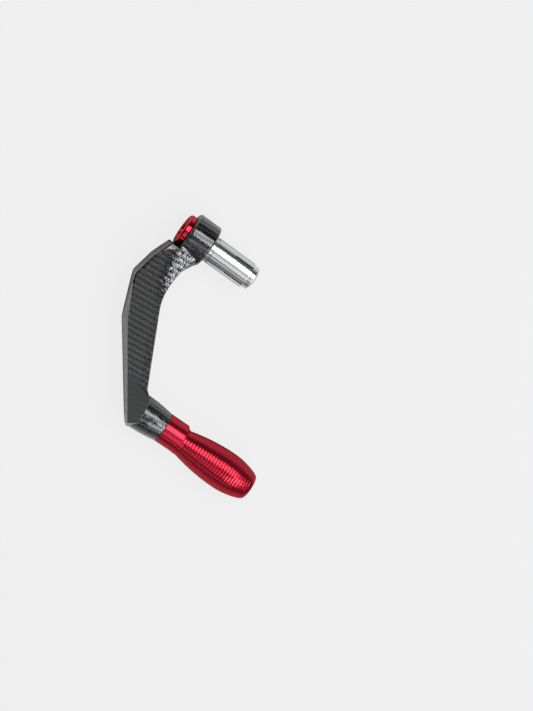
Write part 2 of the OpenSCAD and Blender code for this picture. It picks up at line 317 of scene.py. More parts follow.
def add_sums(tree: Tree, made: dict, steps: list[tuple]) -> None:
    """Adds a chain of sums.

    Args:
        tree: The node tree.
        made: Names of outputs made so far; the new ones are added to it.
        steps: Rows of (new name, operation, operand, operand); an operand is a name or a number.
    """
    for name, operation, *operands in steps:
        inputs = {i: made.get(value, value) for i, value in enumerate(operands)}
        made[name] = add_node(tree, "ShaderNodeMath", inputs, operation=operation).outputs[0]


def split_place(tree: Tree, kind: str) -> bpy.types.Node:
    """Adds a texture coordinate, such as Object, split into its axes."""
    coordinate = add_node(tree, "ShaderNodeTexCoord").outputs[kind]
    return add_node(tree, "ShaderNodeSeparateXYZ", {0: coordinate})


@dataclass(frozen=True)
class Finish:
    """A surface as it comes from the maker; the subclasses add their patterns."""

    name: str
    slot: Slot

    def material(self) -> bpy.types.Material:
        """The finish's material, made once."""
        found = bpy.data.materials.get(self.name)
        if found:
            return found
        new = bpy.data.materials.new(self.name)
        new.use_nodes = True
        new.node_tree.nodes.clear()
        shader = add_node(new.node_tree, "ShaderNodeBsdfPrincipled")
        self.draw(new.node_tree, shader)
        add_node(new.node_tree, "ShaderNodeOutputMaterial", {"Surface": shader.outputs[0]})
        return new

    def draw(self, tree: Tree, shader: bpy.types.Node) -> None:
        """Sets the shader's sockets and draws the pattern."""
        raise NotImplementedError

    def put_on(self, piece: Mesh) -> None:
        """Gives a piece this finish."""
        piece.data.materials.clear()
        piece.data.materials.append(self.material())
        for polygon in piece.data.polygons:
            polygon.material_index = 0


@dataclass(frozen=True)
class TwillCarbon(Finish):
    """Carbon-fibre 2x2 twill under a thin clear coat that follows the cloth: each tow arches over two
    others and glints where its slope meets a lamp, beside tows that stay black. Each tow's colour is also
    painted lighter along its crest, and more so on the warp: a painted sheen for the fibres' glint. A slow
    unevenness of the sheet breaks up the borders of the highlights. The pattern fades out to plain grey on
    the flat towards the heel. Real filaments are 0.007 mm thick, too fine to show, so they are drawn some
    0.1 mm wide."""

    tow: float = 1.2
    # Each tow runs from its dark colour to its sheen colour along its crest: painted sheen, lighter on the
    # warp
    warp_dark: str = "#1c1c1d"
    warp_sheen: str = "#606164"
    weft_dark: str = "#141415"
    weft_sheen: str = "#303132"
    plain_tint: str = "#3a3b3c"
    plain_from: Point = (-26.5, 84.0)  # the fade starts here and is complete at plain_to
    plain_to: Point = (-24.5, 98.0)
    plain_share: float = 0.94
    edge_tint: str = "#f0f0f0"
    metallic: float = 0.85
    roughness: float = 0.15
    relief: float = 0.034
    wave: float = 0.16
    wave_length: float = 2.4
    crown: float = 0.3
    filament: Pair = (9.0, 0.5)  # waves per mm across a filament and along it
    filament_gain: float = 0.6
    filament_base: float = 0.65
    coat: float = 1.0
    coat_roughness: float = 0.05

    def draw(self, tree: Tree, shader: bpy.types.Node) -> None:
        """Draws each tow as an arched float over two crossings, with fine filaments along it. Its colour is
        lighter along the crest and on the warp: a painted sheen.
        """
        chart = add_node(tree, "ShaderNodeUVMap", uv_map="weave")
        axes = add_node(tree, "ShaderNodeSeparateXYZ", {0: chart.outputs[0]})
        made = {"across": axes.outputs[0], "along": axes.outputs[1]}
        add_sums(tree, made, [
            ("u", "DIVIDE", "across", self.tow),
            ("v", "DIVIDE", "along", self.tow),
            ("u_cell", "FLOOR", "u"),
            ("v_cell", "FLOOR", "v"),
            ("cells", "ADD", "u_cell", "v_cell"),
            ("turn", "FLOORED_MODULO", "cells", 4.0),
            ("warp_up", "LESS_THAN", "turn", 1.5),
            ("warp_run", "ADD", "v", "u_cell"),
            ("warp_place", "FLOORED_MODULO", "warp_run", 4.0),
            ("weft_run", "ADD", "u", "v_cell"),
            ("weft_place", "FLOORED_MODULO", "weft_run", 4.0),
        ])
        for tow, place, part in (("warp", "warp_place", "u"), ("weft", "weft_place", "v")):
            add_sums(tree, made, [
                (tow + "_arc", "MULTIPLY", place, math.pi / 2),
                (tow + "_wave", "SINE", tow + "_arc"),
                (tow + "_rise", "ABSOLUTE", tow + "_wave"),
                (tow + "_part", "FRACT", part),
                (tow + "_bow", "MULTIPLY", tow + "_part", math.pi),
                (tow + "_round", "SINE", tow + "_bow"),
                (tow + "_full", "MULTIPLY_ADD", tow + "_round", self.crown, 1 - self.crown),
                (tow + "_high", "MULTIPLY", tow + "_full", tow + "_rise"),
            ])
        threads = {}
        fine, long = self.filament
        for tow, stretch in (("warp", (fine, long, 1.0)), ("weft", (long, fine, 1.0))):
            drawn = add_node(tree, "ShaderNodeMapping", {"Vector": chart.outputs[0], "Scale": stretch})
            threads[tow] = add_node(
                tree, "ShaderNodeTexNoise",
                {"Vector": drawn.outputs[0], "Scale": 1.0, "Detail": 2.0, "Roughness": 0.6},
            ).outputs[0]
        # Painted sheen: the colour runs from dark to light along each tow's crest, lighter on the warp than
        # the weft
        sheen_tints = {}
        for tow, dark, light in (
            ("warp", self.warp_dark, self.warp_sheen), ("weft", self.weft_dark, self.weft_sheen),
        ):
            add_sums(tree, made, [
                (tow + "_thread", "MULTIPLY_ADD", threads[tow], self.filament_gain, self.filament_base),
                (tow + "_sheen_share", "MULTIPLY", tow + "_high", tow + "_thread"),
            ])
            sheen_tints[tow] = add_node(
                tree, "ShaderNodeMix", {0: made[tow + "_sheen_share"], 6: linear(dark), 7: linear(light)},
                data_type="RGBA", clamp_factor=True,
            ).outputs[2]
        tint = add_node(
            tree, "ShaderNodeMix", {0: made["warp_up"], 6: sheen_tints["weft"], 7: sheen_tints["warp"]}, data_type="RGBA",
        )
        made["cloth"] = add_node(
            tree, "ShaderNodeMix", {0: made["warp_up"], 2: made["weft_high"], 3: made["warp_high"]},
            data_type="FLOAT",
        ).outputs[0]
        uneven = add_node(
            tree, "ShaderNodeTexNoise",
            {"Vector": chart.outputs[0], "Scale": 1 / self.wave_length, "Detail": 1.0, "Roughness": 0.4},
        )
        made["uneven"] = uneven.outputs[0]
        place = split_place(tree, "Object")
        for axis, (start, end) in enumerate(zip(self.plain_from, self.plain_to)):
            made[f"fade_{axis}"] = add_node(
                tree, "ShaderNodeMapRange",
                {"Value": place.outputs[axis], 1: start * MM, 2: end * MM, 3: 0.0, 4: self.plain_share},
                interpolation_type="SMOOTHSTEP",
            ).outputs[0]
        add_sums(tree, made, [
            ("plain", "MULTIPLY", "fade_0", "fade_1"),
            ("woven", "SUBTRACT", 1.0, "plain"),
            ("sheet", "MULTIPLY_ADD", "uneven", self.wave / self.relief, "cloth"),
            ("height", "MULTIPLY", "sheet", "woven"),
        ])
        faded = add_node(
            tree, "ShaderNodeMix", {0: made["plain"], 6: tint.outputs[2], 7: linear(self.plain_tint)},
            data_type="RGBA",
        )
        bump = add_node(
            tree, "ShaderNodeBump",
            {"Height": made["height"], "Strength": 1.0, "Distance": self.relief * MM},
        )
        tree.links.new(faded.outputs[2], shader.inputs["Base Color"])
        tree.links.new(bump.outputs[0], shader.inputs["Normal"])
        tree.links.new(bump.outputs[0], shader.inputs["Coat Normal"])
        shader.inputs["Specular Tint"].default_value = linear(self.edge_tint)
        shader.inputs["Metallic"].default_value = self.metallic
        shader.inputs["Roughness"].default_value = self.roughness
        shader.inputs["Coat Weight"].default_value = self.coat
        shader.inputs["Coat Roughness"].default_value = self.coat_roughness


@dataclass(frozen=True)
class TurnedMetal(Finish):
    """Metal turned on a lathe: fine rings round the X axis that stretch each highlight along the axis,
    and a slight unevenness in its gloss. Real tool marks lie 0.1 mm apart, too fine to show, so the rings
    are drawn coarser."""

    colour: str = "#d6d7d8"
    shade: str = "#c4c5c7"
    roughness: float = 0.2
    ring_pitch: float = 0.35
    ring_depth: float = 0.006
    ring_bump: float = 0.5
    gloss_spread: float = 0.06
    mottle_scale: float = 120.0
    tone: Pair = (0.6, 0.1)  # gain and base of the shade's share
    coat: float = 0.0
    coat_roughness: float = 0.1
    edge_tint: str = "#ffffff"
    # Inside this radius from the axis the colour is darkened: painted shade in slits and bores
    shade_radius: float = 0.0
    bore_shade_colour: str = "#2c2d2f"

    def draw(self, tree: Tree, shader: bpy.types.Node) -> None:
        """Draws the turning rings as noise that changes along X alone, a soft mottle, and painted shade: all
        that lies nearer the axis than a given radius is darkened."""
        place = add_node(tree, "ShaderNodeTexCoord").outputs["Object"]
        rings = add_node(
            tree, "ShaderNodeMapping",
            {"Vector": place, "Scale": (1 / (self.ring_pitch * MM), 2.0, 2.0)},
        )
        lines = add_node(
            tree, "ShaderNodeTexNoise", {"Vector": rings.outputs[0], "Scale": 1.0, "Detail": 3.0},
        )
        mottle = add_node(
            tree, "ShaderNodeTexNoise",
            {"Vector": place, "Scale": self.mottle_scale, "Detail": 3.0, "Roughness": 0.6},
        )
        made = {"lines": lines.outputs[0], "mottle": mottle.outputs[0]}
        add_sums(tree, made, [
            ("gloss_lines", "MULTIPLY_ADD", "lines", self.gloss_spread, self.roughness - self.gloss_spread),
            ("gloss", "MULTIPLY_ADD", "mottle", self.gloss_spread, "gloss_lines"),
            ("tone", "MULTIPLY_ADD", "lines", *self.tone),
        ])
        tint = add_node(
            tree, "ShaderNodeMix", {0: made["tone"], 6: linear(self.colour), 7: linear(self.shade)},
            data_type="RGBA", clamp_factor=True,
        )
        # Painted shade: darkens all that lies nearer the axis than the radius
        if self.shade_radius:
            axes = add_node(tree, "ShaderNodeSeparateXYZ", {0: place})
            made["y"], made["z"] = axes.outputs[1:]
            add_sums(tree, made, [
                ("y_square", "MULTIPLY", "y", "y"),
                ("square", "MULTIPLY_ADD", "z", "z", "y_square"),
                ("inside", "LESS_THAN", "square", (self.shade_radius * MM) ** 2),
            ])
            tint = add_node(
                tree, "ShaderNodeMix", {0: made["inside"], 6: tint.outputs[2], 7: linear(self.bore_shade_colour)},
                data_type="RGBA",
            )
        bump = add_node(
            tree, "ShaderNodeBump",
            {"Height": made["lines"], "Strength": self.ring_bump, "Distance": self.ring_depth * MM},
        )
        tree.links.new(tint.outputs[2], shader.inputs["Base Color"])
        tree.links.new(made["gloss"], shader.inputs["Roughness"])
        tree.links.new(bump.outputs[0], shader.inputs["Normal"])
        shader.inputs["Metallic"].default_value = 1.0
        shader.inputs["Specular Tint"].default_value = linear(self.edge_tint)
        shader.inputs["Coat Weight"].default_value = self.coat
        shader.inputs["Coat Roughness"].default_value = self.coat_roughness


# Moulded carbon-look twill under clear coat, tows of 1.2 mm: dark tows beside ones that glint,
# # with a painted sheen along the crests and on the warp
CARBON = TwillCarbon("carbon_twill_clear_coated", Slot.CARBON)
# Red anodised aluminium, fine-turned; the sealed oxide layer adds a pale gloss over the red metal
GRIP_RED = TurnedMetal(
    "anodised_aluminium_deep_red", Slot.RED, colour="#bc2038", shade="#b41c34", roughness=0.26,
    ring_pitch=0.9, ring_depth=0.0005, coat=0.3, coat_roughness=0.12, edge_tint="#b82840",
)
# The same anodising on the polished end ring, brighter and smoother
RING_RED = TurnedMetal(
    "anodised_aluminium_bright_red", Slot.RED, colour="#cc1830", shade="#c4162c", roughness=0.18,
    ring_pitch=0.9, ring_depth=0.0005, coat=0.5, coat_roughness=0.06, edge_tint="#c83048",
)
# Bare aluminium, turned and polished: almost a mirror across, stretched along the axis
BARE_ALUMINIUM = TurnedMetal("aluminium_turned_bright", Slot.BRIGHT, roughness=0.22, ring_depth=0.002)
# The same metal, darkened inside its sawn slits and bore as painted shade
SLIT_ALUMINIUM = TurnedMetal(
    "aluminium_turned_bright_shaded_bore", Slot.BRIGHT, roughness=0.22, ring_depth=0.002, shade_radius=8.0,
)
# The same metal left dull from the press, its colour darkened as painted shade for the ring's shadow over it
DULL_SHADED_ALUMINIUM = TurnedMetal(
    "aluminium_dull_painted_shade", Slot.BRIGHT, colour="#808183", shade="#747577", roughness=0.34,
    ring_depth=0.002,
)
# Zinc-plated alloy steel, cold-headed: darker and duller than the aluminium
BOLT_STEEL = TurnedMetal(
    "steel_zinc_plated", Slot.STEEL, colour="#a6a8aa", shade="#8c8e90", roughness=0.32, ring_pitch=0.6,
)
# Brass turned on a lathe: warm yellow with fine rings
INSERT_BRASS = TurnedMetal(
    "brass_machined", Slot.BRASS, colour="#c9a24e", shade="#b48c3c", roughness=0.28, ring_pitch=0.4,
)


def hand_over(piece: Mesh, finish: Finish, node: str) -> None:
    """Dresses a finished piece, lets it ride and lets it stand for its node."""
    finish.put_on(piece)
    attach(piece, BODY)
    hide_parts(node)
    LOG.info("%s: %d faces, %s", piece.name, len(piece.data.polygons), finish.name)


# ---- the sub-assemblies


@dataclass
class Clamp:
    """The places along the handlebar's axis that its parts share."""

    diameter: float = 28.2
    length: float = 15.7
    edge: float = 1.5  # rounding of the boss's rims
    web: float = 5.2  # wall between the sleeve's seat and the ring's bore
    spigot: float = 17.0
    sleeve: float = 17.5
    seat: float = 0.6  # depth of the stop ring's seat
    bolt_hole: float = 6.4


@dataclass
class GuardArm:
    """The moulded arm: clamp boss, cranked blade and round stub in one piece."""

    clamp: Clamp = field(default_factory=Clamp)
    palm: float = 108.5  # how far forward the stub and the tip lie
    half_height: float = 12.6
    shoulder: Point = (21.6, 10.4)
    brow: Point = (26.1, 22.8)
    elbow: Point = (29.1, 38.7)
    knee: Point = (18.8, 65.6)
    heel: Point = (-22.0, 120.25)
    end_low: Point = (-28.2, 120.25)
    end_top: Point = (-25.0, 97.5)
    crotch: Point = (-19.4, 93.2)
    belly: Point = (7.0, 33.0)
    belly_rear: float = 89.0  # radii of the inner edge on both sides of its belly
    belly_front: float = 35.0
    web_run: float = 2.4
    root_in: float = 0.6
    dish: Triple = (12.6, 4.6, 9.1)  # how far outboard of boss, belly and crotch the slope begins
    dish_angle: float = 12.5
    dish_run: float = 8.0
    dish_shift: float = 3.0
    dish_fade: Pair = (27.0, 46.0)  # where along Y the steep slope gives way to the shallow one
    front_angle: float = 3.5
    ramp_angle: float = 33.0
    grid: float = 1.6
    grid_from: Pair = (-30.0, 6.0)
    grid_span: Pair = (60.0, 114.0)
    bevel: Pair = (3.0, 1.2)  # width at the knee and at the heel
    bevel_angle: float = 68.0
    web_angle: float = 70.0
    brow_soft: float = 3.2
    knee_soft: float = 1.3
    edge_soft: float = 0.55
    outer_shares: Pair = (0.4, 0.45)  # of brow_soft, before and after the brow
    corner_shares: tuple[float, ...] = (0.9, 0.5, 0.9, 0.4, 0.4)  # of brow_soft, on upright edges
    blunt: float = 24.0  # an edge that turns less than this stays as it is
    stub: Triple = (23.2, 19.9, -42.9)  # diameter at its root and at its end, and the end's place
    stub_taper: float = 11.0
    stub_root: float = 2.1
    insert: Pair = (9.0, 12.0)  # diameter and depth
    hollow: float = 23.0  # what the shoulder leaves free round the ring
    shoulder_face: Pair = (8.0, 22.0)  # reach and angle
    heel_face: Triple = (3.3, 4.3, 66.0)  # setback, place past the palm, angle
    weave_turn: float = 50.3

    def outline(self) -> list[Point]:
        """The blade seen from above, anticlockwise from the boss."""
        belly = Vector(self.belly)
        front = belly - Vector((self.belly_front, 0))
        rear = belly - Vector((self.belly_rear, 0))
        to_crotch = Vector(self.crotch) - front
        turn = math.atan2(to_crotch.y, to_crotch.x) - math.acos(self.belly_front / to_crotch.length)
        web_y = self.clamp.diameter / 2 + 3 * self.web_run
        back = math.asin((web_y - belly.y) / self.belly_rear)
        sweep = [(front, self.belly_front, turn * (1 - i / 14)) for i in range(14)]
        sweep += [(rear, self.belly_rear, back * i / 8) for i in range(9)]
        hollow = [(c.x + r * math.cos(a), c.y + r * math.sin(a)) for c, r, a in sweep]
        return [
            (self.root_in, 0.0), (self.clamp.length - 0.5, 0.0), (self.clamp.length - 0.5, self.shoulder[1]),
            self.shoulder, self.brow, self.elbow, self.knee, self.heel, self.end_low, self.end_top,
            self.crotch, *hollow,
            (self.root_in + self.web_run, self.clamp.diameter / 2 + self.web_run),
            (self.root_in, self.clamp.diameter / 2 - 1),
        ]

    def ridge(self) -> list[Point]:
        """The line on the top face where its sloping inner half begins, and the ramp's foot."""
        return [
            (5.0 + self.dish[0], self.hollow / 2),
            (self.belly[0] + self.dish[1], self.belly[1] + 6.0),
            (self.crotch[0] + self.dish[2], self.crotch[1] - 1.1),
            (self.end_top[0], self.end_top[1] - 0.8),
        ]

    def wedge(self, name: str, planes: list[tuple[Point, Point, float]], top: bool) -> Mesh:
        """A cutter that holds what lies past every one of some slopes.

        Args:
            name: The cutter's name.
            planes: Rows of (start, end, angle): the slope leaves the top face along that line and
                falls away to its right at that angle.
            top: False mirrors the cutter to the bottom face.

        Returns:
            The cutter.
        """
        deselect_all()
        bpy.ops.mesh.primitive_cube_add(size=240.0, location=(0.0, 55.0, 0.0))
        piece = apply_place(named(name))
        for start, end, angle in planes:
            run = Vector((end[0] - start[0], end[1] - start[1])).normalized()
            slope = math.radians(angle)
            right = Vector((run.y, -run.x, 0.0))
            normal = right * math.sin(slope) + Vector((0.0, 0.0, math.cos(slope)))
            with editing(piece):
                bpy.ops.mesh.select_all(action="SELECT")
                bpy.ops.mesh.bisect(
                    plane_co=(*start, self.half_height), plane_no=normal, use_fill=True, clear_inner=True,
                )
        with editing(piece):
            bpy.ops.mesh.select_all(action="SELECT")
            if not top:
                bpy.ops.transform.mirror(constraint_axis=(False, False, True), center_override=(0, 0, 0))
            bpy.ops.mesh.normals_make_consistent(inside=False)
        return piece

    def cut_faces(self, blade: Mesh) -> None:
        """Cuts the outer bevel back to the elbow, the web's bevel and the corner faces of shoulder and
        heel, top and bottom."""
        knee, heel = Vector(self.knee), Vector(self.heel)
        run = (heel - knee).normalized()
        outward = Vector((run.y, -run.x))
        crease = (tuple(knee - outward * self.bevel[0]), tuple(heel - outward * self.bevel[1]))
        radius, web_y = self.clamp.diameter / 2, self.clamp.diameter / 2 + 3 * self.web_run
        web_far = (self.belly[0] - 1.0, web_y)
        shoulder, brow = Vector(self.shoulder), Vector(self.brow)
        corner = shoulder + (brow - shoulder).normalized() * self.shoulder_face[0]
        back, low, slope = self.heel_face
        heel_y = self.palm + low
        lean = (self.end_low[0] - self.end_top[0]) / (self.end_low[1] - self.end_top[1])
        heel_end = (self.end_top[0] + lean * (heel_y - self.end_top[1]), heel_y)
        cuts = {
            "outer_bevel": [(*crease, self.bevel_angle)],
            "elbow_bevel": [(self.elbow, crease[0], self.bevel_angle)],
            "heel_face": [(tuple(Vector(crease[1]) - run * back), heel_end, slope)],
            "shoulder_face": [
                ((self.clamp.length + 0.8, self.hollow / 2), tuple(corner), self.shoulder_face[1]),
            ],
            "web_bevel": [
                (web_far, (self.root_in + 1.2, radius - 8.5), self.web_angle),
                (web_far, (web_far[0] + 10.0, web_y), 60.0),
            ],
        }
        for name, planes in cuts.items():
            for top in (True, False):
                combine(blade, self.wedge(name, planes, top), Join.CUT)

    def drop_at(self, x: float, y: float) -> float:
        """How far the top face lies below its flat at a place.

        Args:
            x: Place along the handlebar.
            y: Place forward of it.

        Returns:
            The depth: a slope that steepens towards the inner edge beside the boss, and a shallow one
            further forward that a short ramp ends before the stub.
        """
        here = Vector((x, y))
        rear, bend, front, foot = (Vector(point) for point in self.ridge())
        run = max(0.0, (here - rear).dot(left_of(rear, bend)) + self.dish_run - self.dish_shift)
        steep = math.tan(math.radians(self.dish_angle))
        bent = min(run, self.dish_run)
        deep = steep * (bent * bent / (2 * self.dish_run) + max(0.0, run - self.dish_run))
        start, end = self.dish_fade
        share = min(1.0, max(0.0, (end - y) / (end - start)))
        share = share * share * (3 - 2 * share)
        past_bend = max(0.0, (here - bend).dot(left_of(bend, front)))
        past_front = max(0.0, (here - front).dot(left_of(front, foot)))
        shallow = math.tan(math.radians(self.front_angle)) * past_bend * (1 - share)
        ramp = math.tan(math.radians(self.ramp_angle)) * past_front
        return deep * share + min(shallow, ramp)

    def hollow_faces(self, blade: Mesh) -> None:
        """Divides the blade by a grid and by the ramp's lines, and lowers its faces to their slopes."""
        bend, front, foot = (Vector(point) for point in self.ridge()[1:])
        inward, ramp = left_of(bend, front), left_of(front, foot)
        slope, rise = (math.tan(math.radians(angle)) for angle in (self.front_angle, self.ramp_angle))
        planes = [(front, ramp), (front, (inward * slope - ramp * rise).normalized())]
        axes = (Vector((1.0, 0.0)), Vector((0.0, 1.0)))
        for start, span, across in zip(self.grid_from, self.grid_span, axes):
            planes += [(across * (start + self.grid * i), across) for i in range(int(span / self.grid))]
        with editing(blade):
            for place, across in planes:
                bpy.ops.mesh.select_all(action="SELECT")
                bpy.ops.mesh.bisect(plane_co=(*place, 0.0), plane_no=(*across, 0.0))
        for vertex in blade.data.vertices:
            vertex.co.z *= 1 - self.drop_at(vertex.co.x, vertex.co.y) / self.half_height

    def weight_of(self, edge: Edge) -> float:
        """How round a blade edge is, as a share of the brow's rounding."""
        a, b = (v.co for v in edge.verts)
        if edge.calc_face_angle(0.0) < math.radians(self.blunt):
            return 0.0
        middle, upright = (a + b) / 2, abs(a.z - b.z) > 0.8 * (a - b).length
        if upright:
            corners = (self.brow, self.elbow, self.knee, self.heel, self.crotch)
            for (x, y), share in zip(corners, self.corner_shares):
                if math.hypot(middle.x - x, middle.y - y) < 1.0:
                    return share
            return 0.0
        if all(abs(face.normal.z) > 0.3 for face in edge.link_faces) and middle.y > self.elbow[1]:
            return 0.0
        outer = [self.shoulder, self.brow, self.elbow, self.knee]
        shares = (*self.outer_shares, self.knee_soft / self.brow_soft)
        for (p, q), share in zip(zip(outer, outer[1:]), shares):
            start, span = Vector(p), Vector(q) - Vector(p)
            t = (middle.to_2d() - start).dot(span) / span.length_squared
            if -0.02 <= t <= 1.02 and (start + span * t - middle.to_2d()).length < 0.8:
                return share
        return self.edge_soft / self.brow_soft

    def soften(self, blade: Mesh) -> None:
        """Rounds the blade's edges, each by its own width."""
        blade.data.attributes.new("bevel_weight_edge", "FLOAT", "EDGE")
        make_active(blade)
        with editing(blade, "EDGE") as mesh:
            layer = mesh.edges.layers.float.get("bevel_weight_edge")
            for edge in mesh.edges:
                edge[layer] = self.weight_of(edge)
            bmesh.update_edit_mesh(blade.data)
        apply_modifier(
            blade, "BEVEL", limit_method="WEIGHT", width=self.brow_soft, segments=4,
            use_clamp_overlap=False, miter_outer="MITER_ARC",
        )

    def boss(self) -> Mesh:
        """The round boss, with rounded rims."""
        c = self.clamp
        radius = c.diameter / 2
        return lathe("boss", rounded([
            (0.0, 0.0, 0.0), (0.0, radius, c.edge), (c.length, radius, c.edge), (c.length, 0.0, 0.0),
        ], steps=8), steps=160)

    def stub_body(self) -> Mesh:
        """The round stub that the tip is drawn against, with the gentle taper of its last stretch."""
        big, small, x = self.stub
        body = lathe("stub", rounded([
            (x, 0.0, 0.0), (x, small / 2, 0.3), (x + self.stub_taper / 2, big / 2 - 0.8, 8.0),
            (x + self.stub_taper, big / 2 - 0.2, 8.0), (self.end_top[0] - 0.9, big / 2, 0.0),
            (self.end_top[0] + self.stub_root, big / 2, 0.0), (self.end_top[0] + self.stub_root, 0.0, 0.0),
        ], steps=6))
        body.location.y = self.palm
        return apply_place(body)

    def bores(self) -> list[Mesh]:
        """Cutters for the bolt hole, the seat of the stop ring, the spigot and the tip's insert."""
        c, far = self.clamp, (self.palm, 0.0)
        x = self.stub[2]
        return [
            rod("bolt_hole", c.bolt_hole, -1.0, c.length),
            rod("stop_seat", c.sleeve + 0.4, -1.0, c.seat),
            rod("ring_hollow", self.hollow, c.length, 60.0),
            rod("spigot_bore", c.spigot + 0.2, c.web, c.length + 1.0),
            rod("insert_bore", self.insert[0], x - 1.0, x + self.insert[1], far),
            rod("tip_bolt_bore", c.bolt_hole, x, x + self.insert[1] + 2.0, far),
        ]

    def lay_weave(self, arm: Mesh) -> None:
        """Lays the cloth on the arm: wrapped round the boss and stub, flat on the faces and walls."""
        chart = arm.data.uv_layers.new(name="weave")
        turned = Matrix.Rotation(-math.radians(self.weave_turn), 2)
        radius = self.clamp.diameter / 2
        for polygon in arm.data.polygons:
            middle, normal = polygon.center, polygon.normal
            on_boss = math.hypot(middle.y, middle.z) > radius - 2 and middle.x < self.clamp.length and (
                abs(math.hypot(middle.y, middle.z) - radius) < self.clamp.edge and middle.y < radius)
            far_y = middle.y - self.palm
            on_stub = middle.x < self.end_top[0] - 0.5 and abs(normal.x) < 0.5 and (
                abs(math.hypot(far_y, middle.z) - self.stub[0] / 2) < 1.8)
            centre = math.atan2(middle.y if on_boss else far_y, middle.z)
            for loop in polygon.loop_indices:
                p = arm.data.vertices[arm.data.loops[loop].vertex_index].co
                if on_boss or on_stub:
                    y = p.y if on_boss else p.y - self.palm
                    around = math.atan2(y, p.z)
                    around += FULL_TURN * round((centre - around) / FULL_TURN)
                    uv = (p.x, around * radius)
                elif abs(normal.z) > 0.55:
                    uv = (p.x, p.y)
                elif abs(normal.x) > 0.9 and middle.x < self.clamp.length:
                    uv = (p.z, p.y)
                else:
                    along = Vector((-normal.y, normal.x)).normalized()
                    uv = (along.x * p.x + along.y * p.y, p.z)
                chart.data[loop].uv = turned @ Vector(uv)

    def build(self) -> Mesh:
        """Builds the arm and hands it over."""
        arm = prism("twill_guard_arm", self.outline(), -self.half_height, self.half_height)
        self.cut_faces(arm)
        self.soften(arm)
        self.hollow_faces(arm)
        combine(arm, self.boss(), Join.UNION)
        combine(arm, self.stub_body(), Join.UNION)
        for cutter in self.bores():
            combine(arm, cutter, Join.CUT)
        self.lay_weave(arm)
        settle(arm, 26.0)
        hand_over(arm, CARBON, "guard_arm")
        return arm


@dataclass
class EndRing:
    """The red ring on the boss's outboard face, and the bright washer under it."""

    clamp: Clamp = field(default_factory=Clamp)
    diameter: float = 21.0
    thickness: float = 4.4
    bore: float = 13.6
    floor: float = 3.0
    rim: float = 0.3
    rim_diameter: float = 21.8
    gap: float = 0.1

    def build(self) -> None:
        """Builds the ring with a crowned rim, and the washer."""
        c = self.clamp
        x0 = c.length + self.rim
        x1, start = x0 + self.thickness, c.web + self.gap
        ring = lathe("red_end_ring", rounded([
            (start, c.bolt_hole / 2, 0.2), (start, c.spigot / 2, 0.4), (x0, c.spigot / 2, 0.0),
            (x0, self.diameter / 2, 1.2), (x1, self.diameter / 2, 2.0), (x1, self.bore / 2, 1.4),
            (start + self.floor, self.bore / 2, 0.2), (start + self.floor, c.bolt_hole / 2, 0.2),
        ], steps=7))
        hand_over(settle(ring, 40.0), RING_RED, "end_ring")
        inner = c.spigot / 2 + 0.2
        washer = lathe("bright_rim_washer", rounded([
            (c.length, inner, 0.1), (c.length, self.rim_diameter / 2, 0.25),
            (x0, self.rim_diameter / 2, 0.25), (x0, inner, 0.1),
        ]))
        # The washer's dark colour is painted shade for the ring's shadow over it
        hand_over(settle(washer), DULL_SHADED_ALUMINIUM, "rim_washer")


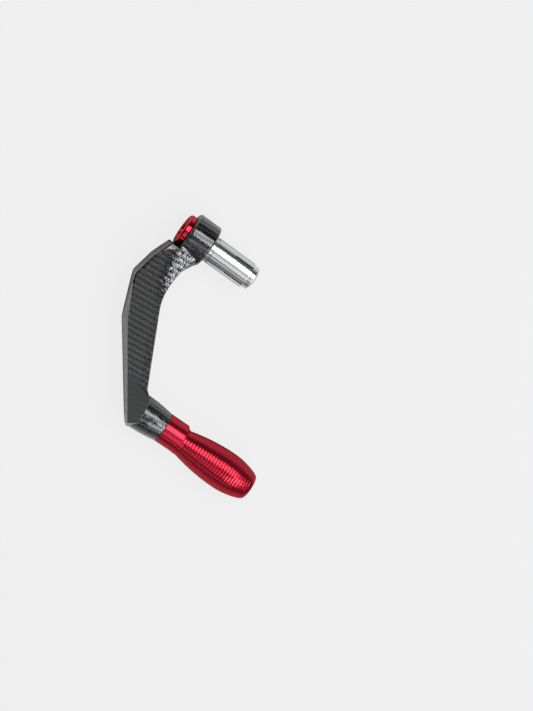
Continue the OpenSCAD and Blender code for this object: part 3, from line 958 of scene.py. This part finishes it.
@dataclass
class Expander:
    """What grips inside the handlebar: stop ring, split sleeve and cone nut."""

    clamp: Clamp = field(default_factory=Clamp)
    stop: float = 2.9
    notches: int = 6
    notch: Pair = (1.4, 0.9)  # width and depth
    length: float = 27.5
    wall: float = 2.2
    relief: Pair = (0.7, 0.6)  # length and depth of the step behind the stop ring
    slits: int = 4
    slit: Pair = (13.8, 0.9)  # length and width
    slit_turn: float = -4.0
    cone: tuple[float, float, float, float] = (9.0, 4.6, 15.2, 12.2)  # reach in and out, wide, narrow
    cone_bevel: float = 1.2
    back_wall: float = 5.0

    def blocks(self, name: str, size: Triple, at: Pair, count: int, turn: float) -> Mesh:
        """A star of blocks round the X axis, to cut slits or notches.

        Args:
            name: The cutter's name.
            size: Size of one block along X, across, and outwards.
            at: Place of the block's middle along X, and of its foot from the axis.
            count: How many.
            turn: Where the first stands, in degrees from straight up.

        Returns:
            The cutter.
        """
        deselect_all()
        bpy.ops.mesh.primitive_cube_add(size=1.0, scale=size, location=(at[0], 0.0, at[1] + size[2] / 2))
        piece = apply_place(named(name))
        one = piece.data.copy()
        one.transform(Matrix.Rotation(math.radians(turn), 4, "X"))
        star = bmesh.new()
        for i in range(count):
            arm = one.copy()
            arm.transform(Matrix.Rotation(FULL_TURN * i / count, 4, "X"))
            star.from_mesh(arm)
            bpy.data.meshes.remove(arm)
        star.to_mesh(piece.data)
        star.free()
        bpy.data.meshes.remove(one)
        return piece

    def build(self) -> None:
        """Builds the three pieces."""
        c = self.clamp
        x0, radius = c.seat - self.stop, c.sleeve / 2
        x1 = x0 - self.length
        ring = lathe("bright_stop_ring", rounded([
            (c.seat, c.bolt_hole / 2, 0.1), (c.seat, radius, 0.3),
            (x0, radius, 0.45), (x0, c.bolt_hole / 2, 0.1),
        ]))
        depth = self.stop - c.seat + 0.8
        wide, deep = self.notch
        combine(ring, self.blocks(
            "notches", (depth, wide, 2.0), (x0 - 1 + depth / 2, radius - deep), self.notches, 0.0,
        ), Join.CUT)
        hand_over(settle(ring), BARE_ALUMINIUM, "stop_ring")

        cone_in, cone_out, cone_d, cone_tip = self.cone
        bore = radius - self.wall
        hole = c.bolt_hole / 2
        cone_x0, cone_x1 = x1 + cone_in, x1 - cone_out
        sleeve = lathe("bright_split_sleeve", rounded([
            (x0, hole, 0.0), (x0, radius - self.relief[1], 0.0),
            (x0 - self.relief[0], radius - self.relief[1], 0.0), (x0 - self.relief[0], radius, 0.2),
            (x1, radius, 0.4), (x1, cone_d / 2 + 0.1, 0.0), (cone_x0, cone_tip / 2 + 0.1, 0.0),
            (cone_x0 + 1.5, min(cone_tip / 2 + 0.1, bore), 0.0),
            (x0 - self.back_wall, bore, 0.5), (x0 - self.back_wall, hole, 0.0),
        ]))
        slit_long, slit_wide = self.slit
        first = 180.0 / self.slits + self.slit_turn
        slit = (slit_long + 1, slit_wide, c.sleeve)
        combine(sleeve, self.blocks("slits", slit, (x1 - 1 + slit[0] / 2, 0.0), self.slits, first), Join.CUT)
        hand_over(settle(sleeve), SLIT_ALUMINIUM, "expander_sleeve")

        nut = lathe("bright_cone_nut", rounded([
            (cone_x1, hole, 0.3), (cone_x1, cone_d / 2 - self.cone_bevel, 0.3),
            (cone_x1 + self.cone_bevel, cone_d / 2, 0.4), (x1, cone_d / 2, 0.0),
            (cone_x0, cone_tip / 2, 0.2), (cone_x0, hole, 0.2),
        ]))
        hand_over(settle(nut), BARE_ALUMINIUM, "cone_nut")


@dataclass
class SocketBolt:
    """A socket-head bolt and its washer."""

    name: str
    seat: float
    length: float
    outboard: bool = True
    centre_y: float = 0.0
    shank: float = 6.0
    head: Pair = (10.0, 6.0)  # diameter and height
    socket: Pair = (5.0, 3.0)  # across flats and depth
    washer: Pair = (11.6, 1.2)  # diameter and thickness
    knurls: int = 36
    knurl_depth: float = 0.018  # as a share of the head's radius

    def place(self, piece: Mesh) -> Mesh:
        """Moves a piece that was modelled at the origin to the bolt's seat."""
        piece.location = (self.seat, self.centre_y, 0.0)
        if not self.outboard:
            piece.rotation_euler = (0.0, 0.0, math.pi)
        return apply_place(piece)

    def build(self) -> None:
        """Builds the bolt with a knurled head, and the washer under it."""
        radius, high = self.head[0] / 2, self.head[1]
        bolt = lathe(f"steel_{self.name}", rounded([
            (-self.length, 0.0, 0.0), (-self.length, self.shank / 2, 0.6), (0.0, self.shank / 2, 0.0),
            (0.0, radius, 0.2), (0.9, radius, 0.0), (high - 0.9, radius, 0.0),
            (high, radius, 0.6), (high, 0.0, 0.0),
        ]), steps=4 * self.knurls)
        for vertex in bolt.data.vertices:
            flat = Vector((vertex.co.y, vertex.co.z))
            if 0.8 < vertex.co.x < high - 0.5 and flat.length > radius - 0.1:
                turn = math.atan2(flat.y, flat.x) * self.knurls
                flat *= 1 - self.knurl_depth * (0.5 - 0.5 * math.cos(turn))
                vertex.co.y, vertex.co.z = flat
        flats, deep = self.socket
        combine(bolt, rod("socket", flats / math.cos(math.pi / 6), high - deep, high + 1, sides=6), Join.CUT)
        hand_over(settle(self.place(bolt), 35.0), BOLT_STEEL, self.name)
        ring = lathe(f"bright_{self.name}_washer", rounded([
            (-self.washer[1], self.shank / 2 + 0.2, 0.1), (-self.washer[1], self.washer[0] / 2, 0.2),
            (0.0, self.washer[0] / 2, 0.3), (0.0, self.shank / 2 + 0.2, 0.1),
        ]), steps=96)
        hand_over(settle(self.place(ring)), BARE_ALUMINIUM, f"{self.name}_washer")


@dataclass
class RibbedTip:
    """The red tip: plain collar, hollow neck and a ribbed grip that stands off centre."""

    palm: float = 108.5
    stub_x: float = -42.9
    collar: Pair = (19.9, 13.8)  # diameter and length
    grip: Triple = (54.7, 25.7, 17.8)  # length, widest diameter and the far end's
    neck: Pair = (18.0, 3.2)  # diameter and the hollow's radius
    peak: float = 35.0  # where the grip is widest
    offset: float = 1.2
    pitch: float = 2.03
    groove: float = 0.32
    groove_share: float = 0.24  # half a groove's width, of the pitch
    land: float = 1.6
    recess: float = 12.4
    floor: float = 16.0
    bolt_hole: float = 6.4
    groove_points: int = 10
    first_groove: float = 0.3

    def radius_at(self, d: float) -> float:
        """The grip's radius over its ribs at a distance from the collar."""
        length, big, end = self.grip
        neck, hollow = self.neck
        if d < self.peak:
            share = min(self.peak - d, self.peak - hollow) / (self.peak - hollow)
            return big / 2 - (big - neck) / 2 * share ** 2
        return big / 2 - (big - end) / 2 * ((d - self.peak) / (length - self.peak)) ** 2

    def grip_profile(self, x0: float) -> list[Point]:
        """The ribbed outline, from the collar to the far end: smooth lands with narrow round grooves."""
        length, half = self.grip[0], self.groove_share
        ribs = int((length - 2 * self.land) / self.pitch)
        points = [(x0 + 0.5, 0.0), (x0 + 0.5, self.radius_at(0.0) - 0.6), (x0, self.radius_at(0.0) - 0.6)]
        points.append((x0 - 0.4, self.radius_at(0.0)))
        for i in range(ribs * self.groove_points + 1):
            rib, k = divmod(i, self.groove_points)
            away = half * (2 * k / (self.groove_points - 1) - 1)
            d = self.land + (rib + self.first_groove + half + away) * self.pitch
            depth = self.groove * (0.5 + 0.5 * math.cos(math.pi * away / half))
            points.append((x0 - d, self.radius_at(d) - depth))
        end = self.grip[2] / 2
        x1 = x0 - length
        edge = rounded([(x1 + 2.0, end, 0.0), (x1, end, 0.8), (x1, 0.0, 0.0)], steps=5)
        return points + [(x, r) for x, r in edge if x < x0 - d - 0.05]

    def build(self) -> None:
        """Builds the tip."""
        radius, length = self.collar[0] / 2, self.collar[1]
        x0 = self.stub_x
        x1 = x0 - length
        neck, hollow = self.neck
        low = neck / 2 - self.offset
        waist = [(x1 - hollow * (1 - math.cos(a)), min(radius - 0.3, low + hollow * (1 - math.sin(a))))
                 for a in (math.radians(6 * k) for k in range(16))]
        plain = rounded([
            (x0, radius - 2, 0.0), (x0, radius, 0.45), (x1, radius, 0.3), (x1, radius - 1, 0.0),
        ], steps=5)[1:-1]
        collar = lathe("red_ribbed_tip", [
            (x0, 0.0), *plain, *waist, (x1 - hollow - 1.5, low), (x1 - hollow - 1.5, 0.0),
        ])
        grip = lathe("grip", self.grip_profile(x1))
        grip.location.y = self.offset
        combine(collar, apply_place(grip), Join.UNION)
        collar.location.y = self.palm
        apply_place(collar)
        seat = x1 - self.floor
        far = (self.palm, 0.0)
        combine(collar, rod("bore", self.bolt_hole, seat - 1, x0 + 1, far), Join.CUT)
        combine(collar, rod("recess", self.recess, x1 - self.grip[0] - 1, seat, far), Join.CUT)
        hand_over(settle(collar, 38.0), GRIP_RED, "grip_tip")


# ---- studio


@dataclass
class Studio:
    """Camera, lamps, floor and backdrop."""

    camera_at: Triple = (111.328, -12.98, 772.164)
    camera_turn: tuple[float, float, float, float] = (-0.304722, 0.100262, -0.063491, 0.945019)
    focal_pixels: float = 1257.8
    frame_height: int = 711
    aim: Triple = (-20.0, 50.0, 0.0)
    backdrop: str = "#f0f0f0"
    low_room: str = "#b4b4b4"
    ceiling: str = "#3c3c3c"
    horizon: Pair = (0.05, 0.4)
    floor_z: float = -14.15
    floor_size: float = 9.0
    floor_colour: str = "#d8d8d8"
    shadow_reach: float = 0.02
    floor_share: float = 0.92
    floor_glow: float = 0.98
    floor_shade: float = 4.0

    def camera(self) -> None:
        """Stands the camera where the photograph was taken from."""
        deselect_all()
        bpy.ops.object.camera_add(location=[c * MM for c in self.camera_at])
        camera = bpy.context.object
        camera.name = "photo_camera"
        camera.rotation_mode = "QUATERNION"
        camera.rotation_quaternion = Quaternion(self.camera_turn)
        camera.data.sensor_width = 36.0
        camera.data.lens = self.focal_pixels * 36.0 / self.frame_height
        camera.data.clip_start, camera.data.clip_end = 0.01, 20.0
        bpy.context.scene.camera = camera

    def lamp(self, name: str, towards: Triple, distance: float, size: Pair, radiance: float) -> None:
        """Hangs a soft box.

        Args:
            name: The lamp's name.
            towards: Direction from the object to the lamp.
            distance: How far away, in metres.
            size: Its size along X and across, in metres.
            radiance: How bright its face looks, where 1 is white.
        """
        light = bpy.data.lights.new(name, "AREA")
        light.shape = "RECTANGLE"
        light.size, light.size_y = size
        light.energy = radiance * math.pi * size[0] * size[1]
        lamp = bpy.data.objects.new(name, light)
        bpy.context.scene.collection.objects.link(lamp)
        way = Vector(towards).normalized()
        lamp.location = Vector(self.aim) * MM + way * distance
        across = Vector((1.0, 0.0, 0.0)) - way * way.x
        across.normalize()
        frame = Matrix((across, way.cross(across), way)).transposed()
        lamp.rotation_mode = "QUATERNION"
        lamp.rotation_quaternion = frame.to_quaternion()

    def lamps(self) -> None:
        """A long soft box over the rear, two over the inboard side, two dimmer strips in front and a dim
        patch overhead."""
        self.lamp("long_soft_box", (-0.03, -0.445, 0.895), 1.2, (1.5, 0.68), 4.2)
        self.lamp("inboard_soft_box", (-0.62, 0.02, 0.785), 1.2, (0.36, 0.50), 6.0)
        self.lamp("overhead_patch", (-0.11, 0.10, 0.985), 1.2, (0.46, 0.36), 0.53)
        self.lamp("rib_soft_box", (-0.50, 0.38, 0.78), 1.2, (0.44, 0.60), 3.4)
        self.lamp("front_strip", (-0.03, 0.42, 0.907), 1.3, (1.0, 0.50), 1.0)
        self.lamp("low_front_strip", (0.0, 0.82, 0.57), 1.3, (1.6, 0.28), 0.9)

    def backdrop_light(self) -> None:
        """The room: the pale backdrop low down, a darker ceiling above it."""
        world = bpy.data.worlds.new("studio_room")
        bpy.context.scene.world = world
        world.use_nodes = True
        tree = world.node_tree
        tree.nodes.clear()
        path = add_node(tree, "ShaderNodeLightPath")
        way = split_place(tree, "Generated")
        height = add_node(
            tree, "ShaderNodeMapRange",
            {"Value": way.outputs[2], 1: self.horizon[0], 2: self.horizon[1], 3: 0.0, 4: 1.0},
            interpolation_type="SMOOTHSTEP",
        )
        room = add_node(
            tree, "ShaderNodeMix", {0: height.outputs[0], 6: linear(self.low_room), 7: linear(self.ceiling)},
            data_type="RGBA",
        )
        seen = add_node(
            tree, "ShaderNodeMix",
            {0: path.outputs["Is Camera Ray"], 6: room.outputs[2], 7: linear(self.backdrop)},
            data_type="RGBA",
        )
        light = add_node(tree, "ShaderNodeBackground", {"Color": seen.outputs[2], "Strength": 1.0})
        add_node(tree, "ShaderNodeOutputWorld", {"Surface": light.outputs[0]})

    def floor(self) -> None:
        """A plain pale floor under the part, which shows in the backdrop's colour; in reflections its glow is
        darkened near the part by ambient occlusion, a painted shadow.
        """
        deselect_all()
        bpy.ops.mesh.primitive_plane_add(size=self.floor_size, location=(0.0, 0.0, self.floor_z * MM))
        floor = named("studio_floor")
        paint = bpy.data.materials.new("floor_pale_matt")
        paint.use_nodes = True
        tree = paint.node_tree
        tree.nodes.clear()
        path = add_node(tree, "ShaderNodeLightPath")
        made = {
            "camera": path.outputs["Is Camera Ray"], "glossy": path.outputs["Is Glossy Ray"],
            "through": path.outputs["Is Transmission Ray"],
        }
        # Painted shadow: in reflections the floor's glow falls off near the part with ambient occlusion
        made["open"] = add_node(
            tree, "ShaderNodeAmbientOcclusion", {"Distance": self.shadow_reach}, samples=6,
        ).outputs["AO"]
        add_sums(tree, made, [
            ("mirrored", "MAXIMUM", "glossy", "through"),
            ("direct", "MAXIMUM", "camera", "mirrored"),
            ("share", "MULTIPLY", "direct", self.floor_share),
            ("shaded", "POWER", "open", self.floor_shade),
            ("dim", "MULTIPLY", "shaded", self.floor_glow),
            ("glow", "MAXIMUM", "camera", "dim"),
        ])
        matt = add_node(tree, "ShaderNodeBsdfDiffuse", {"Color": linear(self.floor_colour)})
        plain = add_node(
            tree, "ShaderNodeEmission", {"Color": linear(self.backdrop), "Strength": made["glow"]},
        )
        surface = add_node(
            tree, "ShaderNodeMixShader", {0: made["share"], 1: matt.outputs[0], 2: plain.outputs[0]},
        )
        clear = add_node(tree, "ShaderNodeBsdfTransparent")
        behind = add_node(tree, "ShaderNodeNewGeometry").outputs["Backfacing"]
        both = add_node(tree, "ShaderNodeMixShader", {0: behind, 1: surface.outputs[0], 2: clear.outputs[0]})
        add_node(tree, "ShaderNodeOutputMaterial", {"Surface": both.outputs[0]})
        floor.data.materials.append(paint)

    def build(self) -> None:
        """Sets up the whole studio."""
        self.camera()
        self.lamps()
        self.backdrop_light()
        self.floor()
        bpy.context.scene.view_settings.view_transform = "Standard"


def main() -> None:
    """Builds every piece around the frame, in order."""
    logging.basicConfig(level=logging.INFO, format="%(name)s: %(message)s")
    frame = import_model()
    LOG.info("frame with %d nodes", len(frame["nodes"]))
    Studio().build()
    GuardArm().build()
    EndRing().build()
    Expander().build()
    SocketBolt("bar_bolt", seat=9.5, length=42.9).build()
    SocketBolt("tip_bolt", seat=-73.9, length=41.0, outboard=False, centre_y=108.5).build()
    RibbedTip().build()
    INSERT_BRASS.put_on(frame["nodes"]["tip_insert"])


if __name__ == "__main__":
    main()
